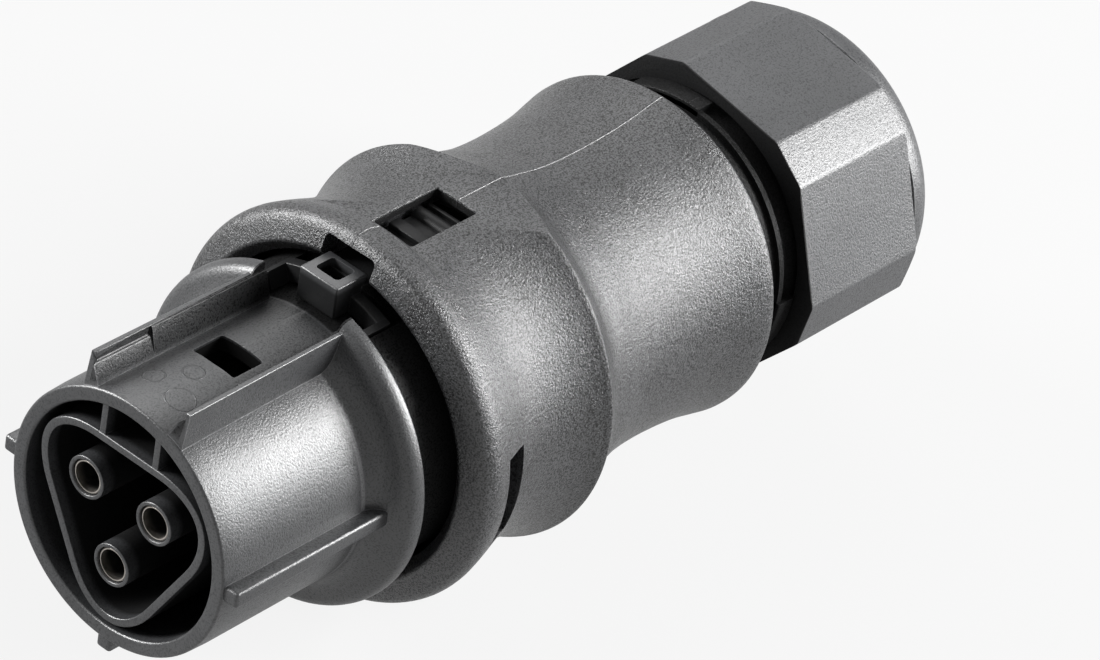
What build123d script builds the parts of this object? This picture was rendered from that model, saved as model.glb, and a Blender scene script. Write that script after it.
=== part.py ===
"""Three-pole cable connector receptacle, lying with its axis along X.

X runs from the mating face to the cable end. The part lies on a flat of its gland nut, so the latch side
of the connector is turned a little from +Z towards +Y. Stations are millimetres behind the mating face, and
each finished piece moves back by half the length, so that the origin lies at the middle of the connector.
A clock angle is in degrees, counted from the latch side towards -Y.
"""
import os
from math import asin, cos, degrees, pi, radians, sin, sqrt

from build123d import *

# Whole connector
latch_roll = 10.7
running_clearance = 0.06
slide_clearance = 0.15
fit_clearance = 0.1
overlap = 0.2
seam_clock = 135.0

# Mating front: round shroud, collar and the barrel that enters the housing
shroud_radius = 11.1
shroud_draft = 0.1
shroud_draft_length = 2.0
shroud_wall = 1.35
shroud_length = 17.0
edge_round = 0.2
collar_rise = 3.1
collar_foot = 0.4
collar_edge = 1.3
collar_foot_round = 1.8
barrel_rise = 1.4
barrel_wall = 2.1
barrel_length = 17.7
recess_floor = 2.0

# Guide fins, side ribs and the channel for the mating latch
fin_rise = 1.7
fin_outer = 5.12
fin_taper = 0.18
fin_thickness = 0.47
fin_foot_thickness = 1.4
fin_front = 0.2
fin_front_slope = 0.55
rib_rise = 1.22
rib_width = 1.45
rib_front = 0.25
rib_round = 0.35
rib_length = 16.6
rib_angles = (90, 180, 270)
channel_window_start = 8.56
channel_window_length = 3.24
channel_window_width = 4.36

# Contact face: rounded triangular wall, key slot webs and contact sleeves
contact_pitch_radius = 4.1
contact_angles = {"line": 60, "earth": 180, "neutral": 300}
triangle_corner_distance = 5.0
triangle_corner_radius = 4.16
triangle_wall = 0.65
web_spread = 5.5
web_width = 0.6
web_setback = 0.25
socket_bore = 1.25
socket_wall = 0.19
sleeve_gap = 0.05
sleeve_wall = 0.31

# Socket contacts, terminals and their carrier
socket_front = 0.2
socket_bore_depth = 12.0
socket_collar = 1.2
socket_slit = 0.35
socket_slit_length = 6.5
socket_stub_radius = 1.1
socket_stub_length = 2.0
terminal_setback = 0.9
terminal_length = 8.6
terminal_width = 5.2
terminal_inner = 2.2
terminal_floor = 0.8
terminal_roof = 2.0
wire_space_width = 3.4
carrier_tail = 0.6
carrier_step = 2.4
screw_radius = 1.45
screw_head_radius = 2.2
screw_head_height = 1.3
screw_head_gap = 1.5
screw_end_gap = 0.5
screw_slot_width = 0.6
screw_slot_depth = 0.7
plate_thickness = 0.5
plate_gap = 0.05
screw_travel = 1.4

# Release slide between the fins and the housing ring
slide_head_gap = 0.85
slide_head_length = 3.35
slide_head_width = 3.94
slide_head_rise = 3.0
slide_head_wall = 0.62
slide_eye_length = 2.05
slide_eye_width = 2.36
slide_eye_setback = 0.8
strap_setback = 1.75
strap_length = 1.1
strap_rise = 1.76
strap_half_width = 5.02
arm_gap = 0.7
arm_thickness = 0.52
tongue_width = 4.1
tongue_thickness = 0.6
catch_bar_setback = 2.0
catch_bar_length = 1.25
bar_rise = 0.55
spring_ridge_setback = 5.4
spring_ridge_radius = 0.75
end_lip_length = 0.4
end_lip_rise = 0.35
slide_travel = 1.4

# Housing outline
ring_gap = 3.7
ring_bore_gap = 1.57
ring_rise = 2.43
ring_face_slope = 0.6
ring_face_round = 0.9
ring_crest = 2.1
ring_back = 3.6
ring_back_drop = 0.33
ring_back_slope = 1.65
saddle_setback = 9.2
saddle_depth = 1.5
ridge_setback = 15.0
ridge_round = 0.4
waist_length = 11.1
waist_depth = 3.1
bulge_length = 11.0
bulge_rise = 1.1
bulge_round = 0.7
plateau_drop = 0.25
plateau_wall = 0.8
bore_lead = 1.0
bore_gap = 0.6
chamber_wall = 2.0
chamber_end_gap = 2.0
chamber_cone = 2.8
neck_drop = 2.8
neck_wall = 2.1
neck_length = 11.5
seal_stop_length = 1.5
seal_stop_width = 1.4
ratchet_setback = 3.3
ratchet_width = 0.5
ratchet_land_width = 1.9
ratchet_rise = 0.45
ratchet_land_angle = 34.0
ratchet_land_clock = -11.5
window_setback = 5.1
window_length = 7.5
window_width = 4.2
notch_width = 5.1
notch_crown = 1.0
notch_depth = 2.6
side_slot_angle = 93.5
side_slot_setback = 4.1
side_slot_length = 1.9
side_slot_width = 8.6
snap_nose_height = 0.8

# Cable gland
nut_gap = 5.4
nut_wall = 1.48
nut_corner_cut = 0.87
nut_dome_radius = 4.75
nut_lip = 2.15
nut_mouth_gap = 0.1
nut_lead_in = 0.6
nut_shoulder_width = 1.1
thread_pitch = 2.0
cage_flange_rise = 0.4
cage_flange_length = 1.0
cage_wall = 1.1
cage_flange_gap = 0.2
finger_length = 6.3
finger_root_rise = 0.9
finger_tip_drop = 0.2
finger_count = 8
finger_gap = 1.1
cable_bore = 5.2
seal_short = 0.4
seal_flange_length = 1.0
slip_ring_gap = 1.3
slip_ring_length = 1.35
slip_ring_bore = 7.5

# Radii and stations that follow from the driving dimensions
shroud_bore = shroud_radius - shroud_wall
collar_radius = shroud_radius + collar_rise
collar_rear = shroud_length + 1.7 * collar_edge / 1.3
barrel_radius = shroud_radius + barrel_rise
barrel_bore = barrel_radius - barrel_wall
barrel_end = collar_rear + barrel_length
carrier_front = shroud_length + recess_floor
carrier_radius = barrel_bore - fit_clearance
fin_height = shroud_radius + fin_rise
rib_radius = shroud_radius + rib_rise
socket_radius = socket_bore + socket_wall
sleeve_bore = socket_radius + sleeve_gap
sleeve_radius = sleeve_bore + sleeve_wall
ring_front = collar_rear + ring_gap
ring_bore = barrel_radius + ring_bore_gap
ring_radius = ring_bore + ring_rise
ring_crest_x = ring_front + ring_crest
ring_back_x = ring_front + ring_back
ring_back_foot = ring_back_x + ring_back_slope
saddle_x = ring_front + saddle_setback
saddle_radius = ring_radius - saddle_depth
ridge_x = ring_front + ridge_setback
ridge_radius = ring_radius
waist_x = ridge_x + waist_length
waist_radius = ridge_radius - waist_depth
bulge_end = waist_x + bulge_length
bulge_radius = waist_radius + bulge_rise
plateau_height = saddle_radius - plateau_drop
housing_bore_start = ring_front + bore_lead
housing_bore = barrel_radius + bore_gap
housing_step = barrel_end + 1.1 * barrel_wall / 2.1
chamber_radius = waist_radius - chamber_wall
chamber_end = bulge_end - chamber_end_gap
neck_radius = bulge_radius - neck_drop
neck_bore = neck_radius - neck_wall
neck_end = bulge_end + neck_length
seal_stop_start = chamber_end + chamber_cone
seal_stop_end = seal_stop_start + seal_stop_length
seal_stop_radius = neck_bore - seal_stop_width
ratchet_start = bulge_end + ratchet_setback
ratchet_radius = neck_radius + ratchet_rise
terminal_start = barrel_end + terminal_setback
terminal_end = terminal_start + terminal_length
carrier_end = terminal_end + carrier_tail
carrier_rear_radius = carrier_radius + overlap
screw_head_top = chamber_radius - screw_end_gap
screw_head_foot = screw_head_top - screw_head_height
terminal_outer = screw_head_foot - screw_head_gap
wire_space_inner = terminal_inner + terminal_floor
wire_space_outer = terminal_outer - terminal_roof
screw_x = terminal_start + socket_stub_length + (terminal_length - socket_stub_length) / 2
plate_top = wire_space_outer - plate_gap
plate_length = terminal_length - socket_stub_length - 3 * edge_round
slide_foot = shroud_radius + slide_clearance
slide_head_start = collar_rear + slide_head_gap
slide_head_end = slide_head_start + slide_head_length
slide_head_top = shroud_radius + slide_head_rise
slide_eye_start = slide_head_start + slide_eye_setback
strap_start = slide_head_start + strap_setback
strap_radius = shroud_radius + strap_rise
arm_start = collar_rear + arm_gap
pocket_end = slide_head_end + slide_travel + slide_clearance
tongue_foot = barrel_radius + slide_clearance
tongue_top = tongue_foot + tongue_thickness
window_start = ring_front + window_setback
tongue_end = window_start + window_length - 0.6 * bar_rise / 0.55
catch_bar_start = window_start + catch_bar_setback
spring_ridge_x = window_start + spring_ridge_setback
notch_top = ring_radius - notch_crown
side_slot_start = ring_front + side_slot_setback
nut_front = bulge_end + nut_gap
nut_flat = neck_radius + nut_wall
nut_corner_flat = nut_flat + nut_corner_cut
cage_radius = neck_bore - fit_clearance
cage_bore = cage_radius - cage_wall
cage_front = seal_stop_end + seal_flange_length + cage_flange_gap
cage_flange_end = neck_end + cage_flange_length
cage_flange_radius = neck_radius - cage_flange_rise
finger_root_radius = cage_radius + finger_root_rise
finger_tip_radius = cage_radius - finger_tip_drop
finger_end = neck_end + finger_length
seal_radius = cage_bore - fit_clearance
seal_end = finger_end - seal_short
slip_ring_start = finger_end + slip_ring_gap
slip_ring_radius = neck_radius - nut_shoulder_width - 2 * fit_clearance
gland_shoulder = slip_ring_start + slip_ring_length
nut_end = gland_shoulder + nut_lip
nut_pocket_start = finger_end - seal_short + fit_clearance
nut_pocket_radius = neck_radius - nut_shoulder_width
nut_mouth_radius = slip_ring_bore - nut_mouth_gap
nut_corner = sqrt(nut_flat**2 + ((nut_corner_flat - nut_flat * cos(pi / 6)) / sin(pi / 6)) ** 2)
nut_dome_start = nut_end - nut_dome_radius + overlap / 4

# Directions of the latch side in the row frame
AXIAL = Vector(1, 0, 0)
LATCH_UP = Vector(0, sin(radians(latch_roll)), cos(radians(latch_roll)))
LATCH_SIDE = LATCH_UP.cross(AXIAL)


def outward(clock):
    """Unit vector from the axis at a clock angle."""
    return LATCH_UP * cos(radians(clock)) - LATCH_SIDE * sin(radians(clock))


def station(x, clock=0):
    """Plane across the axis at x, its local y pointing outward at the clock angle."""
    return Plane(origin=(x, 0, 0), x_dir=outward(clock).cross(AXIAL), z_dir=AXIAL)


def level(height, clock=0):
    """Plane square to the outward direction at a height above the axis, its local x along X."""
    return Plane(origin=outward(clock) * height, x_dir=AXIAL, z_dir=outward(clock))


def median(clock=0):
    """Plane through the axis, its local x along X and its local y outward."""
    return Plane(origin=(0, 0, 0), x_dir=AXIAL, z_dir=AXIAL.cross(outward(clock)))


def save(piece, name):
    """Label a finished piece and write its STEP file."""
    piece.part.label = name
    export_step(piece.part.moved(Location((-nut_end / 2, 0, 0))), f"parts/{name}.step")
    print(f"{name:24s} {piece.part.volume:9.1f} mm3")


def contact_points(radius):
    """Local points of the three contacts on a station plane."""
    return [(-radius * sin(radians(a)), radius * cos(radians(a))) for a in contact_angles.values()]


os.makedirs("parts", exist_ok=True)

# Front insert: shroud, collar and barrel turned as one section, then its fins, ribs and contact face
with BuildPart() as front_insert:
    with BuildSketch(median(seam_clock)):
        with BuildLine():
            Polyline(
                (0, shroud_bore),
                (0, shroud_radius - shroud_draft),
                (shroud_draft_length, shroud_radius),
                (collar_rear - collar_edge - collar_foot, shroud_radius),
                (collar_rear - collar_edge, collar_radius),
                (collar_rear, collar_radius),
                (collar_rear, barrel_radius),
                (barrel_end, barrel_radius),
                (barrel_end, barrel_bore),
                (carrier_front, barrel_bore),
                (carrier_front, 0),
                (shroud_length, 0),
                (shroud_length, shroud_bore),
                close=True,
            )
        make_face()
        fillet(vertices().sort_by_distance((0, shroud_radius))[0], edge_round)
        collar_front = collar_rear - collar_edge
        fillet(vertices().sort_by_distance((collar_front - collar_foot, shroud_radius))[0], collar_foot_round)
        fillet(vertices().sort_by_distance((collar_front, collar_radius))[0], collar_edge - edge_round)
        fillet(vertices().sort_by_distance((collar_rear, collar_radius))[0], edge_round)
    revolve(axis=Axis.X)
    # Ribs at the sides and the bottom, rounded along the top
    rib_foot = shroud_radius - shroud_wall / 2
    for clock in rib_angles:
        with BuildSketch(station(rib_front, clock)):
            with Locations((0, (rib_radius + rib_foot) / 2)):
                Rectangle(rib_width, rib_radius - rib_foot)
            fillet(vertices().group_by(Axis.Y)[-1], rib_round)
        extrude(amount=rib_length)
    # The collar is open between the fins, and the slide's pocket lies behind it
    with BuildSketch(station(shroud_length - collar_foot_round)):
        with Locations((0, shroud_radius + ring_radius / 2)):
            Rectangle(2 * (fin_outer - fin_taper - fin_thickness), ring_radius)
        with Locations((0, shroud_radius / 2)):
            Rectangle(2 * (fin_outer - fin_taper - fin_thickness), shroud_radius)
        Circle(shroud_radius, mode=Mode.SUBTRACT)
    extrude(amount=collar_rear - shroud_length + collar_foot_round + edge_round, mode=Mode.SUBTRACT)
    with BuildSketch(station(collar_rear)):
        with Locations((0, ring_radius / 2)):
            Rectangle(2 * (strap_half_width + 2 * slide_clearance), ring_radius)
        Circle(shroud_radius, mode=Mode.SUBTRACT)
    extrude(amount=pocket_end - collar_rear, mode=Mode.SUBTRACT)
    # Two fins, thick at the foot on the channel side and closer together at the collar
    for side in (1, -1):
        for x, taper in ((fin_front, 0), (collar_rear - edge_round, fin_taper)):
            outer = fin_outer - taper
            inner = outer - fin_foot_thickness
            with BuildSketch(station(x)):
                Polygon(
                    (side * inner, sqrt(rib_foot**2 - inner**2)),
                    (side * outer, sqrt(rib_foot**2 - outer**2)),
                    (side * outer, fin_height),
                    (side * (outer - fin_thickness), fin_height),
                    (side * inner, sqrt(shroud_radius**2 - inner**2)),
                    align=None,
                )
        loft()
    with BuildSketch(median()):
        Polygon(
            (fin_front - edge_round, shroud_radius + edge_round),
            (fin_front, shroud_radius + edge_round),
            (fin_front + fin_front_slope, fin_height + edge_round),
            (fin_front - edge_round, fin_height + edge_round),
            align=None,
        )
    extrude(amount=fin_outer + edge_round, both=True, mode=Mode.SUBTRACT)
    # Window in the channel floor
    with BuildSketch(level(shroud_bore - shroud_wall)):
        with Locations((channel_window_start + channel_window_length / 2, 0)):
            Rectangle(channel_window_length, channel_window_width)
    extrude(amount=3 * shroud_wall, mode=Mode.SUBTRACT)
    # Rounded triangular wall with the three sleeves inside it
    with BuildSketch(station(edge_round)):
        with Locations(*contact_points(triangle_corner_distance)):
            Circle(triangle_corner_radius)
        make_hull()
        offset(amount=-triangle_wall, mode=Mode.SUBTRACT)
    extrude(amount=shroud_length - edge_round)
    with BuildSketch(station(0)):
        with Locations(*contact_points(contact_pitch_radius)):
            Circle(sleeve_radius)
    extrude(amount=shroud_length)
    with BuildSketch(station(-edge_round)):
        with Locations(*contact_points(contact_pitch_radius)):
            Circle(sleeve_bore)
    extrude(amount=carrier_front + 2 * edge_round, mode=Mode.SUBTRACT)
    # Webs of the key slot
    triangle_flat = triangle_corner_distance / 2 + triangle_corner_radius
    web_middle = (triangle_flat + shroud_bore) / 2
    with BuildSketch(station(web_setback)):
        with Locations((web_spread / 2, web_middle), (-web_spread / 2, web_middle)):
            Rectangle(web_width, shroud_bore - triangle_flat + triangle_wall)
    extrude(amount=shroud_length - web_setback)
    # Snap noses that sit in the side slots of the housing
    for clock in (side_slot_angle, -side_slot_angle):
        with BuildSketch(level(barrel_radius - barrel_wall / 2, clock)):
            with Locations((side_slot_start + side_slot_length / 2, 0)):
                Rectangle(side_slot_length - 2 * slide_clearance, side_slot_width - 4 * slide_clearance)
        extrude(amount=barrel_wall / 2 + snap_nose_height)
save(front_insert, "front_insert")

# Contact carrier: a stepped plug with a bay for each terminal, open outwards and to the rear
with BuildPart() as contact_carrier:
    with BuildSketch(Plane.XZ):
        Polygon(
            (carrier_front, 0),
            (carrier_front, carrier_radius),
            (barrel_end, carrier_radius),
            (barrel_end, carrier_rear_radius),
            (carrier_end, carrier_rear_radius),
            (carrier_end, 0),
            align=None,
        )
    revolve(axis=Axis.X)
    for clock in contact_angles.values():
        with BuildSketch(station(terminal_start, clock)):
            with Locations((0, (terminal_inner + chamber_radius) / 2)):
                Rectangle(terminal_width + 2 * fit_clearance, chamber_radius - terminal_inner)
        extrude(amount=carrier_end - terminal_start + edge_round, mode=Mode.SUBTRACT)
    with BuildSketch(station(carrier_front - edge_round)):
        with Locations(*contact_points(contact_pitch_radius)):
            Circle(sleeve_bore)
    extrude(amount=terminal_start - carrier_front + 2 * edge_round, mode=Mode.SUBTRACT)
save(contact_carrier, "contact_carrier")

# One socket, terminal, wire plate and screw for each pole
for pole, clock in contact_angles.items():
    axis_point = (0, contact_pitch_radius)
    # Socket contact: drilled from the front, slit into two springs, with a stub into the terminal
    with BuildPart() as socket:
        with BuildSketch(station(socket_front, clock)):
            with Locations(axis_point):
                Circle(socket_radius)
        extrude(amount=terminal_start - socket_front)
        chamfer(faces().sort_by(Axis.X)[0].edges(), edge_round / 2)
        with BuildSketch(station(terminal_start, clock)):
            with Locations(axis_point):
                Circle(socket_stub_radius)
        extrude(amount=socket_stub_length)
        with BuildSketch(station(0, clock)):
            with Locations(axis_point):
                Circle(socket_bore)
        extrude(amount=socket_front + socket_bore_depth, mode=Mode.SUBTRACT)
        with BuildSketch(station(socket_front + socket_collar, clock)):
            with Locations(axis_point):
                Rectangle(3 * socket_radius, socket_slit)
        extrude(amount=socket_slit_length, mode=Mode.SUBTRACT)
    save(socket, f"socket_{pole}")

    # Terminal: a brass cage, hollow along X for the wire, drilled from outside for the screw
    with BuildPart() as terminal:
        with BuildSketch(station(terminal_start, clock)):
            with Locations((0, (terminal_inner + terminal_outer) / 2)):
                Rectangle(terminal_width, terminal_outer - terminal_inner)
        extrude(amount=terminal_length)
        fillet(edges().filter_by(Axis.X), 2 * edge_round)
        with BuildSketch(station(terminal_start + socket_stub_length + edge_round, clock)):
            with Locations((0, (wire_space_inner + wire_space_outer) / 2)):
                Rectangle(wire_space_width, wire_space_outer - wire_space_inner)
        extrude(amount=terminal_length, mode=Mode.SUBTRACT)
        with BuildSketch(station(terminal_start, clock)):
            with Locations(axis_point):
                Circle(socket_stub_radius + running_clearance / 2)
        extrude(amount=socket_stub_length + 2 * edge_round, mode=Mode.SUBTRACT)
        with BuildSketch(level((wire_space_inner + wire_space_outer) / 2, clock)):
            with Locations((screw_x, 0)):
                Circle(screw_radius + running_clearance)
        extrude(amount=terminal_outer, mode=Mode.SUBTRACT)
    save(terminal, f"terminal_{pole}")

    # Wire plate under the screw
    with BuildPart() as wire_plate:
        with BuildSketch(level(plate_top - plate_thickness, clock)):
            with Locations((screw_x, 0)):
                RectangleRounded(plate_length, wire_space_width - 4 * running_clearance, 2 * edge_round)
        extrude(amount=plate_thickness)
    save(wire_plate, f"wire_plate_{pole}")

    # Slotted terminal screw
    with BuildPart() as terminal_screw:
        with BuildSketch(level(plate_top + plate_gap, clock)):
            with Locations((screw_x, 0)):
                Circle(screw_radius)
        extrude(amount=screw_head_foot - plate_top)
        with BuildSketch(level(screw_head_foot, clock)):
            with Locations((screw_x, 0)):
                Circle(screw_head_radius)
        extrude(amount=screw_head_height)
        head_face = faces().filter_by(GeomType.PLANE).sort_by_distance(outward(clock) * 2 * ring_radius)[0]
        chamfer(head_face.edges(), edge_round)
        with BuildSketch(level(screw_head_top - screw_slot_depth, clock)):
            with Locations((screw_x, 0)):
                Rectangle(3 * screw_head_radius, screw_slot_width)
        extrude(amount=screw_head_height, mode=Mode.SUBTRACT)
    save(terminal_screw, f"terminal_screw_{pole}")

# Release slide: a bridge with a square eye, two spring arms and a tongue that runs under the plateau
with BuildPart() as release_slide:
    with BuildSketch(level(slide_foot)):
        with Locations(((slide_head_start + slide_head_end) / 2, 0)):
            Rectangle(slide_head_end - slide_head_start, slide_head_width)
    extrude(amount=slide_head_top - slide_foot)
    fillet(edges().filter_by(Axis((0, 0, 0), LATCH_UP)), edge_round)
    with BuildSketch(level(shroud_radius)):
        with Locations(((slide_head_start + slide_head_end) / 2, 0)):
            Rectangle(slide_head_length - 2 * slide_head_wall, slide_head_width - 2 * slide_head_wall)
    extrude(amount=slide_head_top - slide_head_wall - shroud_radius, mode=Mode.SUBTRACT)
    with BuildSketch(level(slide_head_top - 2 * slide_head_wall)):
        with Locations((slide_eye_start + slide_eye_length / 2, 0)):
            RectangleRounded(slide_eye_length, slide_eye_width, 2 * edge_round)
    extrude(amount=3 * slide_head_wall, mode=Mode.SUBTRACT)
    # Strap across the pocket and the arms that reach forward from its ends
    strap_foot = (slide_head_width - slide_head_wall) / 2
    for start, inner in ((strap_start, strap_foot), (arm_start, strap_half_width - arm_thickness)):
        with BuildSketch(station(start)):
            for side in (1, -1):
                with Locations((side * (strap_half_width + inner) / 2, strap_radius / 2)):
                    Rectangle(strap_half_width - inner, strap_radius)
            Circle(strap_radius, mode=Mode.INTERSECT)
            Circle(slide_foot, mode=Mode.SUBTRACT)
        extrude(amount=strap_start + strap_length - start)
    # Tongue with its catch bar, spring ridge and end lip
    with BuildSketch(level(tongue_foot)):
        with Locations(((slide_head_end - slide_head_wall + tongue_end) / 2, 0)):
            Rectangle(tongue_end - slide_head_end + slide_head_wall, tongue_width)
    extrude(amount=tongue_top - tongue_foot)
    with BuildSketch(level(tongue_top - edge_round)):
        with Locations((catch_bar_start + catch_bar_length / 2, 0)):
            Rectangle(catch_bar_length, tongue_width)
    extrude(amount=bar_rise + edge_round)
    with BuildSketch(level(tongue_top - edge_round)):
        with Locations((tongue_end - end_lip_length / 2, 0)):
            Rectangle(end_lip_length, tongue_width)
    extrude(amount=end_lip_rise + edge_round)
    with BuildSketch(median()):
        with Locations((spring_ridge_x, tongue_top - edge_round)):
            Circle(spring_ridge_radius)
        with Locations((spring_ridge_x, tongue_foot - spring_ridge_radius)):
            Rectangle(3 * spring_ridge_radius, 2 * spring_ridge_radius, mode=Mode.SUBTRACT)
    extrude(amount=tongue_width / 2, both=True)
save(release_slide, "release_slide")

# Housing: one moulding with front ring, saddle, ridge, waist, bulge and threaded neck
with BuildPart() as outer_housing:
    with BuildSketch(Plane.XZ):
        with BuildLine():
            Spline(
                (ring_crest_x, ring_radius),
                (saddle_x, saddle_radius),
                (ridge_x, ridge_radius),
                tangents=((1, -0.12), (1, 0.42)),
            )
            waist_middle = (ridge_x + waist_x) / 2
            waist_curve = (waist_length**2 + waist_depth**2) / (2 * waist_depth)
            waist_middle_radius = waist_radius + waist_curve - sqrt(waist_curve**2 - (waist_length / 2) ** 2)
            ThreePointArc(
                (ridge_x, ridge_radius),
                (waist_middle, waist_middle_radius),
                (waist_x, waist_radius),
            )
            bulge_curve = (bulge_length**2 + bulge_rise**2) / (2 * bulge_rise)
            bulge_middle_radius = waist_radius + bulge_curve - sqrt(bulge_curve**2 - (bulge_length / 2) ** 2)
            ThreePointArc(
                (waist_x, waist_radius),
                (waist_x + bulge_length / 2, bulge_middle_radius),
                (bulge_end, bulge_radius),
            )
            Polyline(
                (bulge_end, bulge_radius),
                (bulge_end, neck_radius),
                (ratchet_start, neck_radius),
                (ratchet_start, ratchet_radius),
                (ratchet_start + ratchet_width, ratchet_radius),
                (ratchet_start + ratchet_width, neck_radius),
                (neck_end, neck_radius),
                (neck_end, neck_bore),
                (seal_stop_end, neck_bore),
                (seal_stop_end, seal_stop_radius),
                (seal_stop_start, seal_stop_radius),
                (chamber_end, chamber_radius),
                (housing_step, chamber_radius),
                (housing_step, housing_bore),
                (housing_bore_start, housing_bore),
                (ring_front, ring_bore),
                (ring_front + ring_face_slope, ring_radius),
                (ring_crest_x, ring_radius),
            )
        make_face()
        fillet(vertices().sort_by_distance((ridge_x, ridge_radius))[0], ridge_round)
        fillet(vertices().sort_by_distance((bulge_end, bulge_radius))[0], bulge_round)
        fillet(vertices().sort_by_distance((ring_front + ring_face_slope, ring_radius))[0], ring_face_round)
    revolve(axis=Axis.X)
    # Lands of the ratchet ring in front of the nut
    with BuildSketch(station(ratchet_start, ratchet_land_clock)):
        with PolarLocations(0, 3, start_angle=90 - ratchet_land_angle / 2):
            with BuildLine():
                land = CenterArc((0, 0), ratchet_radius + ratchet_rise / 2, 0, ratchet_land_angle)
                Line((0, 0), land @ 0)
                Line((0, 0), land @ 1)
            make_face()
        Circle((neck_radius + neck_bore) / 2, mode=Mode.SUBTRACT)
    extrude(amount=ratchet_land_width)
    # Flat plateau on the latch side, with the full ring standing in front of it
    with BuildSketch(level(plateau_height)):
        with Locations(((ring_crest_x + waist_x) / 2, 0)):
            Rectangle(waist_x - ring_crest_x, 2 * ring_radius)
    extrude(amount=ring_radius, mode=Mode.SUBTRACT)
    ring_foot = (ring_bore + housing_bore) / 2
    with BuildSketch(Plane.XZ):
        Polygon(
            (ring_crest_x - overlap, ring_foot),
            (ring_crest_x - overlap, ring_radius),
            (ring_crest_x, ring_radius),
            (ring_back_x, ring_radius - ring_back_drop),
            (ring_back_foot, plateau_height - overlap),
            (ring_back_foot, ring_foot),
            align=None,
        )
    revolve(axis=Axis.X)
    # Notch in the ring and the channel that guides the slide under the plateau
    with BuildSketch(level(barrel_radius)):
        with Locations((ring_front + notch_depth / 2 - edge_round, 0)):
            Rectangle(notch_depth + 2 * edge_round, notch_width)
    extrude(amount=notch_top - barrel_radius, mode=Mode.SUBTRACT)
    channel_end = tongue_end + slide_travel + slide_clearance
    with BuildSketch(level(barrel_radius)):
        with Locations(((ring_front + channel_end) / 2, 0)):
            Rectangle(channel_end - ring_front, notch_width)
    extrude(amount=plateau_height - plateau_wall - barrel_radius, mode=Mode.SUBTRACT)
    # Window over the slide's tongue
    with BuildSketch(level(barrel_radius)):
        with Locations((window_start + window_length / 2, 0)):
            Rectangle(window_length, window_width)
    extrude(amount=ring_radius - barrel_radius, mode=Mode.SUBTRACT)
    # Side slots for the snap noses
    for clock in (side_slot_angle, -side_slot_angle):
        with BuildSketch(level(barrel_radius, clock)):
            with Locations((side_slot_start + side_slot_length / 2, 0)):
                Rectangle(side_slot_length, side_slot_width)
        extrude(amount=ring_radius, mode=Mode.SUBTRACT)
save(outer_housing, "outer_housing")

# Barrel seal between the barrel's end and the step in the housing
with BuildPart() as barrel_seal:
    with BuildSketch(Plane.XZ):
        with Locations(((barrel_end + housing_step) / 2, (carrier_rear_radius + housing_bore) / 2)):
            RectangleRounded(
                housing_step - barrel_end - fit_clearance,
                housing_bore - carrier_rear_radius - 3 * fit_clearance,
                2 * edge_round,
            )
    revolve(axis=Axis.X)
save(barrel_seal, "barrel_seal")

# Strain-relief cage: a sleeve in the neck, a flange on its end and a crown of fingers
with BuildPart() as clamping_cage:
    with BuildSketch(Plane.XZ):
        Polygon(
            (cage_front, cage_bore),
            (cage_front, cage_radius),
            (neck_end, cage_radius),
            (neck_end, cage_flange_radius),
            (cage_flange_end, cage_flange_radius),
            (cage_flange_end, finger_root_radius),
            (finger_end, finger_tip_radius),
            (finger_end, cage_bore),
            align=None,
        )
    revolve(axis=Axis.X)
    with BuildSketch(station(cage_flange_end + edge_round)):
        with PolarLocations(finger_root_radius, finger_count):
            Rectangle(3 * (finger_root_radius - cage_bore), finger_gap)
    extrude(amount=finger_length, mode=Mode.SUBTRACT)
save(clamping_cage, "clamping_cage")

# Rubber cable seal inside the cage, its flange held between the cage and the stop in the neck
with BuildPart() as cable_seal:
    with BuildSketch(Plane.XZ):
        Polygon(
            (seal_stop_end, cable_bore),
            (seal_stop_end, cage_radius),
            (seal_stop_end + seal_flange_length, cage_radius),
            (seal_stop_end + seal_flange_length, seal_radius),
            (seal_end, seal_radius),
            (seal_end, cable_bore),
            align=None,
        )
    revolve(axis=Axis.X)
save(cable_seal, "cable_seal")

# Slip ring between the finger tips and the shoulder of the nut
with BuildPart() as slip_ring:
    with BuildSketch(Plane.XZ):
        Polygon(
            (slip_ring_start, slip_ring_bore + edge_round),
            (slip_ring_start, slip_ring_radius),
            (gland_shoulder, slip_ring_radius),
            (gland_shoulder, slip_ring_bore),
            (slip_ring_start + edge_round, slip_ring_bore),
            align=None,
        )
    revolve(axis=Axis.X)
save(slip_ring, "slip_ring")

# Gland nut: a hexagon with broad cut corners, domed at the cable end
with BuildPart() as gland_nut:
    nut_plane = Plane(origin=(nut_front, 0, 0), x_dir=(0, 1, 0), z_dir=(1, 0, 0))
    with BuildSketch(nut_plane):
        RegularPolygon(nut_flat, 6, major_radius=False)
        RegularPolygon(nut_corner_flat, 6, major_radius=False, rotation=30, mode=Mode.INTERSECT)
    extrude(amount=nut_end - nut_front)
    with BuildSketch(Plane.XZ):
        with BuildLine():
            dome_centre = nut_corner - nut_dome_radius
            dome_angle = asin((nut_end - nut_dome_start) / nut_dome_radius)
            dome = CenterArc((nut_dome_start, dome_centre), nut_dome_radius, 90, -degrees(dome_angle))
            Polyline(dome @ 1, (nut_end, 0), (nut_front, 0), (nut_front, nut_corner), dome @ 0)
        make_face()
    revolve(axis=Axis.X, mode=Mode.INTERSECT)
    with BuildSketch(Plane.XZ):
        Polygon(
            (nut_front, 0),
            (nut_front, neck_radius + nut_lead_in),
            (nut_front + nut_lead_in, neck_radius + running_clearance),
            (nut_pocket_start, neck_radius + running_clearance),
            (nut_pocket_start, nut_pocket_radius),
            (gland_shoulder, nut_pocket_radius),
            (gland_shoulder, nut_mouth_radius),
            (nut_end, nut_mouth_radius),
            (nut_end, 0),
            align=None,
        )
    revolve(axis=Axis.X, mode=Mode.SUBTRACT)
save(gland_nut, "gland_nut")
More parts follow.
